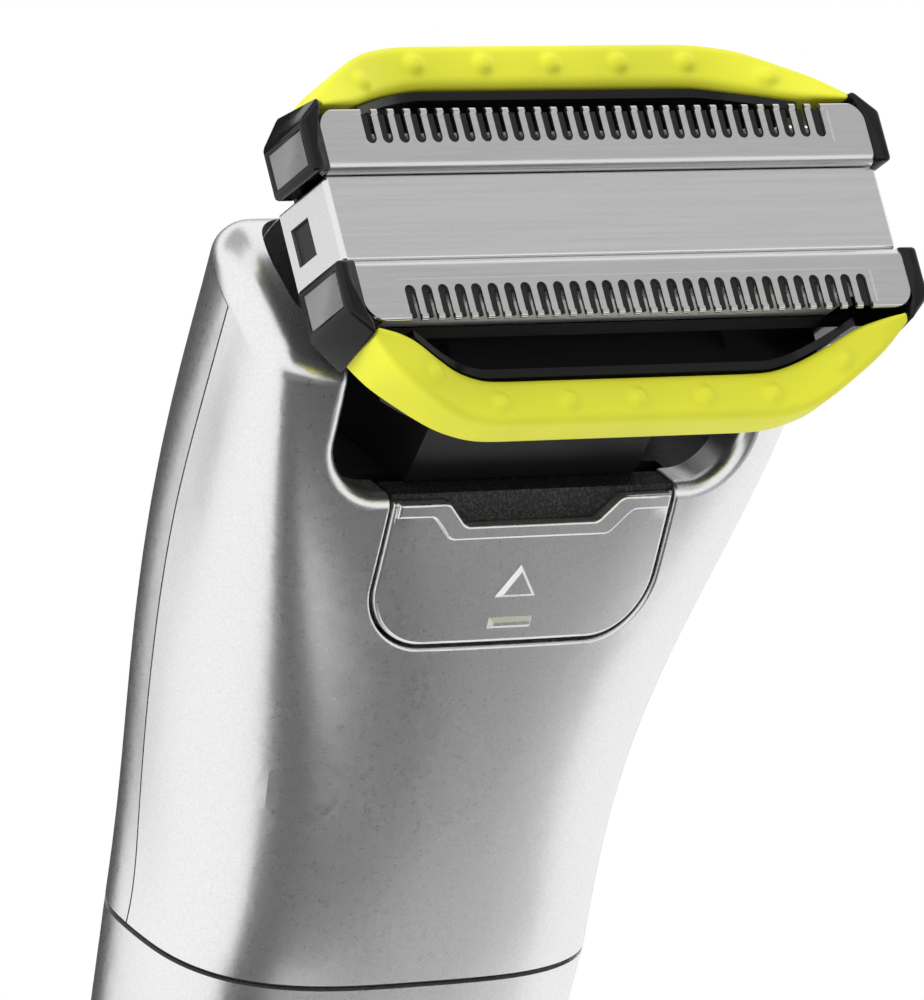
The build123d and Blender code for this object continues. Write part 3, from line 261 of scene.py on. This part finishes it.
lamp("lamp_left", (0.5, 0.7), (-0.75, 0.05, 0.32), MIDDLE, 4)
lamp("lamp_right", (0.4, 0.7), (0.8, 0.1, 0.35), MIDDLE, 2)
lamp("lamp_top", (0.7, 0.5), (0.0, 0.1, 0.95), MIDDLE, 2.5)
print("studio: three lamps and a white world")

# %% [markdown]
# ## Shared effects
#
# Lacquer, plastic and steel all need a fine grain, only at other scales and in other directions.
# One shader node group makes it: it stretches Object coordinates and puts out a value that
# wanders about a half. Each finish then maps that value to its own colour, roughness or bump.

# %% Grain group
def grain_group():
    """Node group that turns Object coordinates into a wandering value."""
    group = bpy.data.node_groups.new("fine_grain", "ShaderNodeTree")
    face = group.interface
    face.new_socket("Grains per metre", in_out="INPUT", socket_type="NodeSocketFloat")
    face.new_socket("Stretch", in_out="INPUT", socket_type="NodeSocketVector")
    face.new_socket("Detail", in_out="INPUT", socket_type="NodeSocketFloat")
    face.new_socket("Value", in_out="OUTPUT", socket_type="NodeSocketFloat")
    start = group.nodes.new("NodeGroupInput")
    end = group.nodes.new("NodeGroupOutput")
    place = group.nodes.new("ShaderNodeTexCoord")
    stretch = group.nodes.new("ShaderNodeVectorMath")
    stretch.operation = "MULTIPLY"
    noise = group.nodes.new("ShaderNodeTexNoise")
    group.links.new(place.outputs["Object"], stretch.inputs[0])
    group.links.new(start.outputs["Stretch"], stretch.inputs[1])
    group.links.new(stretch.outputs[0], noise.inputs["Vector"])
    group.links.new(start.outputs["Grains per metre"], noise.inputs["Scale"])
    group.links.new(start.outputs["Detail"], noise.inputs["Detail"])
    group.links.new(noise.outputs["Fac"], end.inputs["Value"])
    return group


GRAIN = grain_group()


class Finish:
    """A material whose shader is reached by plain words."""

    def __init__(self, name, **settings):
        self.material = bpy.data.materials.new(name)
        self.material.use_nodes = True
        self.tree = self.material.node_tree
        self.shader = self.tree.nodes["Principled BSDF"]
        for socket, value in settings.items():
            self.shader.inputs[socket.replace("_", " ")].default_value = value

    def grain(self, per_metre, stretch=(1, 1, 1), detail=2.0):
        """Output of the shared grain at its own scale."""
        node = self.tree.nodes.new("ShaderNodeGroup")
        node.node_tree = GRAIN
        node.inputs["Grains per metre"].default_value = per_metre
        node.inputs["Stretch"].default_value = stretch
        node.inputs["Detail"].default_value = detail
        return node.outputs["Value"]

    def spread(self, value, low, high, start=0.3, end=0.7):
        """Map a grain value to a range."""
        node = self.tree.nodes.new("ShaderNodeMapRange")
        node.inputs["From Min"].default_value = start
        node.inputs["From Max"].default_value = end
        node.inputs["To Min"].default_value = low
        node.inputs["To Max"].default_value = high
        self.tree.links.new(value, node.inputs["Value"])
        return node.outputs["Result"]

    def tint(self, value, dark, light):
        """Colour between two tones."""
        node = self.tree.nodes.new("ShaderNodeMix")
        node.data_type = "RGBA"
        node.inputs["A"].default_value = (*dark, 1)
        node.inputs["B"].default_value = (*light, 1)
        self.tree.links.new(value, node.inputs["Factor"])
        return node.outputs["Result"]

    def link(self, value, socket):
        self.tree.links.new(value, self.shader.inputs[socket])
        return self

    def bump(self, value, depth, strength=1.0):
        """Raise the surface by a height in metres."""
        node = self.tree.nodes.new("ShaderNodeBump")
        node.inputs["Distance"].default_value = depth
        node.inputs["Strength"].default_value = strength
        self.tree.links.new(value, node.inputs["Height"])
        self.tree.links.new(node.outputs["Normal"], self.shader.inputs["Normal"])
        return self


# %% [markdown]
# ## Finishes
#
# The handle is plastic with a silver lacquer: tiny metal flakes under a thin satin coat. The head
# is brushed steel, with its scratches along the strip. The guards are a soft lime-yellow elastomer,
# and the rest is black moulding, glossy on the caps and matt in the neck.

# %% Visible finishes
def silver_lacquer():
    finish = Finish("silver_lacquer", Metallic=0.96, Coat_Weight=0.12, Coat_Roughness=0.25)
    flakes = finish.grain(5200, detail=1.0)
    dark, light = (0.82, 0.82, 0.825), (0.89, 0.89, 0.895)
    finish.link(finish.tint(finish.spread(flakes, 0, 1), dark, light), "Base Color")
    finish.link(finish.spread(finish.grain(2600), 0.27, 0.31), "Roughness")
    return finish.bump(flakes, 1.5e-6, 0.12).material


def brushed_steel(name, stretch, roughness, tone):
    finish = Finish(name, Metallic=1.0)
    streaks = finish.grain(3000, stretch, 3.0)
    low, high = (0.95 * tone,) * 3, (tone,) * 3
    finish.link(finish.tint(finish.spread(streaks, 0, 1), low, high), "Base Color")
    finish.link(finish.spread(streaks, roughness - 0.03, roughness + 0.04), "Roughness")
    return finish.bump(streaks, 6e-7, 0.4).material


def moulding(name, colour, roughness, grains=2500, depth=3e-6, shine=0.5):
    finish = Finish(name, Specular_IOR_Level=shine)
    grain = finish.grain(grains)
    dark = tuple(0.85 * c for c in colour)
    finish.link(finish.tint(finish.spread(finish.grain(90), 0, 1), dark, colour), "Base Color")
    finish.link(finish.spread(grain, roughness - 0.04, roughness + 0.06), "Roughness")
    return finish.bump(grain, depth, 0.5).material


def pebbled_rubber():
    """Black rubber with a coarse pebble, as under a thumb."""
    finish = Finish("pebbled_rubber", Specular_IOR_Level=0.4)
    pebbles = finish.grain(6000, detail=0.0)
    shade = finish.spread(pebbles, 0, 1, 0.45, 0.8)
    finish.link(finish.tint(shade, (0.008, 0.008, 0.009), (0.04, 0.04, 0.04)), "Base Color")
    finish.link(finish.spread(pebbles, 0.62, 0.45), "Roughness")
    return finish.bump(pebbles, 8e-5, 0.8).material


silver = silver_lacquer()
strip_steel = brushed_steel("strip_steel", (0.02, 1, 1), 0.28, 0.84)
comb_steel = brushed_steel("comb_steel", (0.05, 1, 1), 0.24, 0.75)
plain_steel = brushed_steel("plain_steel", (1, 1, 1), 0.3, 0.55)
# Cutter blades near-black: painted shade that stands for the shade under the combs, so the comb slots look
# dark.
blade_painted_shade = brushed_steel("blade_painted_shade", (0.05, 1, 1), 0.35, 0.05)
black_gloss = moulding("black_gloss", (0.007, 0.007, 0.008), 0.14, shine=0.25)
black_matt = moulding("black_matt", (0.01, 0.01, 0.011), 0.4, shine=0.3)
black_rubber = moulding("black_rubber", (0.02, 0.02, 0.021), 0.5, 4200, 5e-5)
thumb_rubber = pebbled_rubber()
panel_grey = moulding("panel_grey", (0.19, 0.19, 0.195), 0.3)
lime = moulding("lime_elastomer", (0.78, 0.78, 0.04), 0.5, shine=0.3)
print("finishes:", len(bpy.data.materials))

# %% [markdown]
# ## Finishes of the inner pieces
#
# They show only when the head is lifted off or the covers come apart, but a part is looked at from
# everywhere, so each gets its own finish too.

# %% Inner finishes and who wears what
board_green = moulding("board_green", (0.03, 0.16, 0.07), 0.4)
cell_wrap = moulding("cell_wrap", (0.18, 0.2, 0.22), 0.3)
grey_inner = moulding("grey_inner", (0.25, 0.26, 0.27), 0.5)
white_inner = moulding("white_inner", (0.75, 0.75, 0.73), 0.45)
clear_plastic = moulding("clear_plastic", (0.75, 0.8, 0.8), 0.15)
copper = brushed_steel("copper_winding", (1, 1, 0.1), 0.35, 0.5)
nickel = brushed_steel("nickel_sheet", (1, 1, 0.2), 0.3, 0.65)

BY_SLOT = {
    "silver": silver, "black_gloss": black_gloss, "black_matt": black_matt, "black_rubber": black_rubber,
    "lime_rubber": lime, "steel": plain_steel, "nickel": nickel, "copper": copper,
    "clear_plastic": clear_plastic, "board_green": board_green, "cell_wrap": cell_wrap,
    "grey_inner": grey_inner, "white_inner": white_inner,
}
BY_NODE = {
    "centre_strip": strip_steel, "comb_back": comb_steel, "comb_front": comb_steel,
    "cutter_back": blade_painted_shade, "cutter_front": blade_painted_shade, "release_grip": thumb_rubber,
}


def dress(piece, material):
    piece.data.materials.clear()
    piece.data.materials.append(material)


for row in frame["record"]["subparts"]:
    name = row["node"]
    dress(nodes[name], BY_NODE.get(name, BY_SLOT[row["material_slot"]]))
print("dressed", len(nodes), "nodes")

# %% [markdown]
# ## The head's own axes
#
# The head leans towards the front, so its pieces are drawn flat first: X along the strip, Y towards
# the back and Z up from the steel, in millimetres. One matrix then carries a finished mesh to its
# place. The four corner caps and the two guards are copies of one, mirrored before that move.

# %% Head axes
HEAD_PLACE = Matrix.Translation(STRIP_CENTRE) @ Matrix.Rotation(HEAD_TILT, 4, "X") @ Matrix.Scale(MM, 4)


def head_piece(name, bm, materials, node, side_x=1, side_y=1):
    """Mirror a mesh drawn for the back right, set it on the head and let it stand for a node."""
    bmesh.ops.scale(bm, vec=(side_x, side_y, 1), verts=bm.verts)
    bmesh.ops.transform(bm, matrix=HEAD_PLACE, verts=bm.verts)
    bmesh.ops.recalc_face_normals(bm, faces=bm.faces)
    mesh = bpy.data.meshes.new(name)
    bm.to_mesh(mesh)
    bm.free()
    mesh.shade_smooth()
    for material in materials:
        mesh.materials.append(material)
    piece = bpy.data.objects.new(name, mesh)
    bpy.context.scene.collection.objects.link(piece)
    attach(piece, "head")
    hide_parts(node)
    return piece


# %% [markdown]
# ## The guards
#
# Each guard is a soft bar bent round one side of the head, with a flat top, rounded edges and a row
# of little nubs that lift the skin. A curve with a bevel would keep one section all the way, but
# this bar twists and climbs as it nears the caps. So a rounded section is laid at close steps along
# the run and the sections are bridged, as a boat is built on frames. The nubs are pushed up out of
# the finished top, which keeps their feet soft, as moulded rubber is.

# %% Guard sections
Bend = namedtuple("Bend", "inner_x inner_y outer_x outer_y inner_top outer_top low soft")
STRIP_END = 22.0
GUARD_RUN = [
    Bend(STRIP_END - 12.6, 10.4, STRIP_END - 12.6, 13.6, -2.8, -2.8, -6.5, 0.75),
    Bend(STRIP_END - 10.4, 10.3, STRIP_END - 10.5, 13.55, -2.72, -2.78, -6.35, 0.74),
    Bend(STRIP_END - 8.4, 9.85, STRIP_END - 8.6, 13.25, -2.35, -2.6, -6.0, 0.7),
    Bend(STRIP_END - 6.5, 9.2, STRIP_END - 6.8, 12.65, -1.5, -2.2, -5.65, 0.65),
    Bend(STRIP_END - 4.5, 8.4, STRIP_END - 4.6, 11.4, -0.5, -1.5, -5.3, 0.6),
    Bend(STRIP_END - 2.8, 8.05, STRIP_END - 2.5, 10.0, 0.2, -0.7, -4.9, 0.5),
    Bend(STRIP_END - 1.1, 7.85, STRIP_END - 0.85, 8.4, 0.5, 0.1, -4.4, 0.25),
]
GUARD_STEP = 0.22
BEND_STEPS = 9
ROUND_STEPS = 5
TOP_CUTS = 11


def left_bend(bend):
    return bend._replace(inner_x=-bend.inner_x, outer_x=-bend.outer_x)


def eased(before, start, end, after, share):
    """Point on a smooth curve through four values in a row."""
    steps = [1, share, share ** 2, share ** 3]
    pulls = [
        2 * start,
        end - before,
        2 * before - 5 * start + 4 * end - after,
        3 * start - before - 3 * end + after,
    ]
    return sum(step * pull for step, pull in zip(steps, pulls)) / 2


def guard_sections():
    """Sections along the whole guard, from its left end to its right end."""
    straight = GUARD_RUN[0]
    lead = GUARD_RUN[1].inner_x - straight.inner_x
    before = straight._replace(inner_x=straight.inner_x - lead, outer_x=straight.outer_x - lead)
    keys = [before] + GUARD_RUN + [GUARD_RUN[-1]]
    right = []
    for i in range(1, len(GUARD_RUN)):
        for step in range(BEND_STEPS):
            share = step / BEND_STEPS
            right.append(Bend(*(eased(*row, share) for row in zip(*keys[i - 1:i + 3]))))
    right.append(GUARD_RUN[-1])
    steps = round(2 * straight.inner_x / GUARD_STEP)
    middle = [straight.inner_x * (2 * i / steps - 1) for i in range(1, steps)]
    bar = [straight._replace(inner_x=x, outer_x=x) for x in middle]
    return [left_bend(bend) for bend in reversed(right)] + bar + right


print("guard sections:", len(guard_sections()))

# %% Guard mesh
NUB_RISE = 0.42
NUB_RADIUS = 0.66
NUB_PITCH = 5.42
NUB_COUNT = 5
NUB_ROW_Y = 12.05
NUB_BEND = (16.15, 10.35)


def newest_face(bm, laid):
    return next(face for face in bm.faces if face not in laid)


def guard_loop(bm, bend, laid):
    """Rounded section of the guard, standing across its run."""
    inner = Vector((bend.inner_x, bend.inner_y, 0))
    across = Vector((bend.outer_x, bend.outer_y, 0)) - inner
    corners = bmesh.ops.create_grid(bm, x_segments=1, y_segments=1, size=0.5)["verts"]
    for corner in corners:
        top = bend.outer_top if corner.co.x > 0 else bend.inner_top
        corner.co = ((corner.co.x + 0.5) * across.length, top if corner.co.y > 0 else bend.low, 0)
    bmesh.ops.bevel(bm, geom=corners, offset=bend.soft, segments=ROUND_STEPS, profile=0.5,
                    affect="VERTICES", material=-1)
    face = newest_face(bm, laid)
    middle = (bend.inner_top + bend.low) / 2
    high = [edge for edge in face.edges if all(vert.co.y > middle for vert in edge.verts)]
    flat = max(high, key=lambda edge: edge.calc_length())
    bmesh.ops.subdivide_edges(bm, edges=[flat], cuts=TOP_CUTS)
    face = newest_face(bm, laid)
    side = across.normalized()
    turn = Matrix((side, (0, 0, 1), side.cross((0, 0, 1)))).transposed()
    bmesh.ops.rotate(bm, matrix=turn, verts=face.verts)
    bmesh.ops.translate(bm, vec=inner, verts=face.verts)
    return face


def nub_lift(place, spots):
    """Height that the nubs add at a place on the top."""
    return sum(NUB_RISE * math.exp(-((place - Vector(spot)).length / NUB_RADIUS) ** 4) for spot in spots)


def guard_mesh():
    bm = bmesh.new()
    faces = []
    for bend in guard_sections():
        faces.append(guard_loop(bm, bend, set(faces)))
    loops = [list(face.edges) for face in faces]
    bmesh.ops.delete(bm, geom=faces[1:-1], context="FACES_ONLY")
    for near, far in zip(loops, loops[1:]):
        bmesh.ops.bridge_loops(bm, edges=near + far)
    bmesh.ops.recalc_face_normals(bm, faces=bm.faces)
    first = -NUB_PITCH * (NUB_COUNT - 1) / 2
    spots = [(first + i * NUB_PITCH, NUB_ROW_Y) for i in range(NUB_COUNT)]
    spots += [NUB_BEND, (-NUB_BEND[0], NUB_BEND[1])]
    bm.normal_update()
    for vert in bm.verts:
        if vert.normal.z > 0.5:
            vert.co.z += nub_lift(vert.co.xy, spots)
    return bm


guards = [
    head_piece("guard_back_soft", guard_mesh(), [lime], "guard_back"),
    head_piece("guard_front_soft", guard_mesh(), [lime], "guard_front", side_y=-1),
]
print("guards:", len(guards[0].data.polygons), "faces each")

# %% [markdown]
# ## The corner caps
#
# A cap is a small black frame round a grey panel, with its outer corner cut off at a slant. It could
# be cut from a block with booleans, but a flat outline, extruded and bevelled, gives clean corners
# at once. The panel is an inset of the end face, pushed in a little and given the second finish.

# %% Corner caps
CAP_OUTLINE = [(21.75, 3.15), (23.05, 3.15), (23.05, 6.8), (21.25, 8.6), (21.25, 7.6), (21.75, 6.85)]
CAP_TOP = 0.7
CAP_HEIGHT = 5.4
CAP_ROUND = 0.32
PANEL_BORDER = 0.62
PANEL_DEPTH = 0.12
TIP_FROM = 8.0
TIP_LEAN = 0.6
TIP_LEAN_TOP = -0.24
INNER_X = 21.8


def cap_mesh():
    bm = bmesh.new()
    bottom = bm.faces.new([bm.verts.new((x, y, CAP_TOP - CAP_HEIGHT)) for x, y in CAP_OUTLINE])
    raised = bmesh.ops.extrude_face_region(bm, geom=[bottom])["geom"]
    top = [part for part in raised if isinstance(part, bmesh.types.BMVert)]
    bmesh.ops.translate(bm, vec=(0, 0, CAP_HEIGHT), verts=top)
    for vert in bm.verts:
        if vert.co.y > TIP_FROM:
            vert.co.y += TIP_LEAN if vert.co.z < 0 else TIP_LEAN_TOP
    bmesh.ops.recalc_face_normals(bm, faces=bm.faces)
    outer = [
        edge for edge in bm.edges
        if max(vert.co.x for vert in edge.verts) > INNER_X or edge.verts[0].co.y > TIP_FROM
    ]
    bmesh.ops.bevel(bm, geom=outer, offset=CAP_ROUND, segments=4, profile=0.5, affect="EDGES", material=-1)
    end = max(bm.faces, key=lambda face: (round(face.calc_center_median().x, 3), face.calc_area()))
    bmesh.ops.inset_region(bm, faces=[end], thickness=PANEL_BORDER - CAP_ROUND)
    bmesh.ops.inset_region(bm, faces=[end], thickness=PANEL_DEPTH, depth=-PANEL_DEPTH)
    end.material_index = 1
    return bm


for side_y, row in ((1, "back"), (-1, "front")):
    for side_x, hand in ((1, "right"), (-1, "left")):
        name = f"cap_{row}_{hand}"
        cap = head_piece(name + "_framed", cap_mesh(), [black_gloss, panel_grey], name, side_x, side_y)
print("caps: four, each with its panel")

# %% [markdown]
# ## The spring behind the release button
#
# When the button is pressed, its spring grows shorter, which a rigid solid can't do. The coil is
# drawn again here, fixed to the handle, and nothing here makes it shorten: a small ring is spun about
# the spring's axis and pushed back a little at each step.

# %% Release spring
SPRING_TURNS = 4
SPRING_WIRE = 0.25 * MM
TURN_STEPS = 28


def spring_mesh(low, high):
    """Coil along Y that fills the box of the solid spring."""
    bm = bmesh.new()
    middle_x, middle_z = (low.x + high.x) / 2, (low.z + high.z) / 2
    reach = (high.x - low.x) / 2 - SPRING_WIRE
    start = Vector((middle_x + reach, low.y + SPRING_WIRE, middle_z))
    ring = bmesh.ops.create_circle(bm, cap_ends=False, segments=12, radius=SPRING_WIRE)["verts"]
    bmesh.ops.translate(bm, vec=start, verts=ring)
    steps = SPRING_TURNS * TURN_STEPS
    rise = (high.y - low.y - 2 * SPRING_WIRE) / steps
    bmesh.ops.spin(bm, geom=bm.verts[:] + bm.edges[:], cent=(middle_x, low.y, middle_z), axis=(0, 1, 0),
                   dvec=(0, rise, 0), angle=2 * math.pi * SPRING_TURNS, steps=steps)
    ends = [edge for edge in bm.edges if edge.is_boundary]
    bmesh.ops.holes_fill(bm, edges=ends, sides=0)
    bmesh.ops.recalc_face_normals(bm, faces=bm.faces)
    return bm


low, high = (Vector(corner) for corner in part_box("release_spring"))
bm = spring_mesh(low, high)
mesh = bpy.data.meshes.new("release_spring_coil")
bm.to_mesh(mesh)
bm.free()
mesh.shade_smooth()
mesh.materials.append(plain_steel)
spring = bpy.data.objects.new("release_spring_coil", mesh)
bpy.context.scene.collection.objects.link(spring)
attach(spring, "handle")
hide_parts("release_spring")
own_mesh(spring)
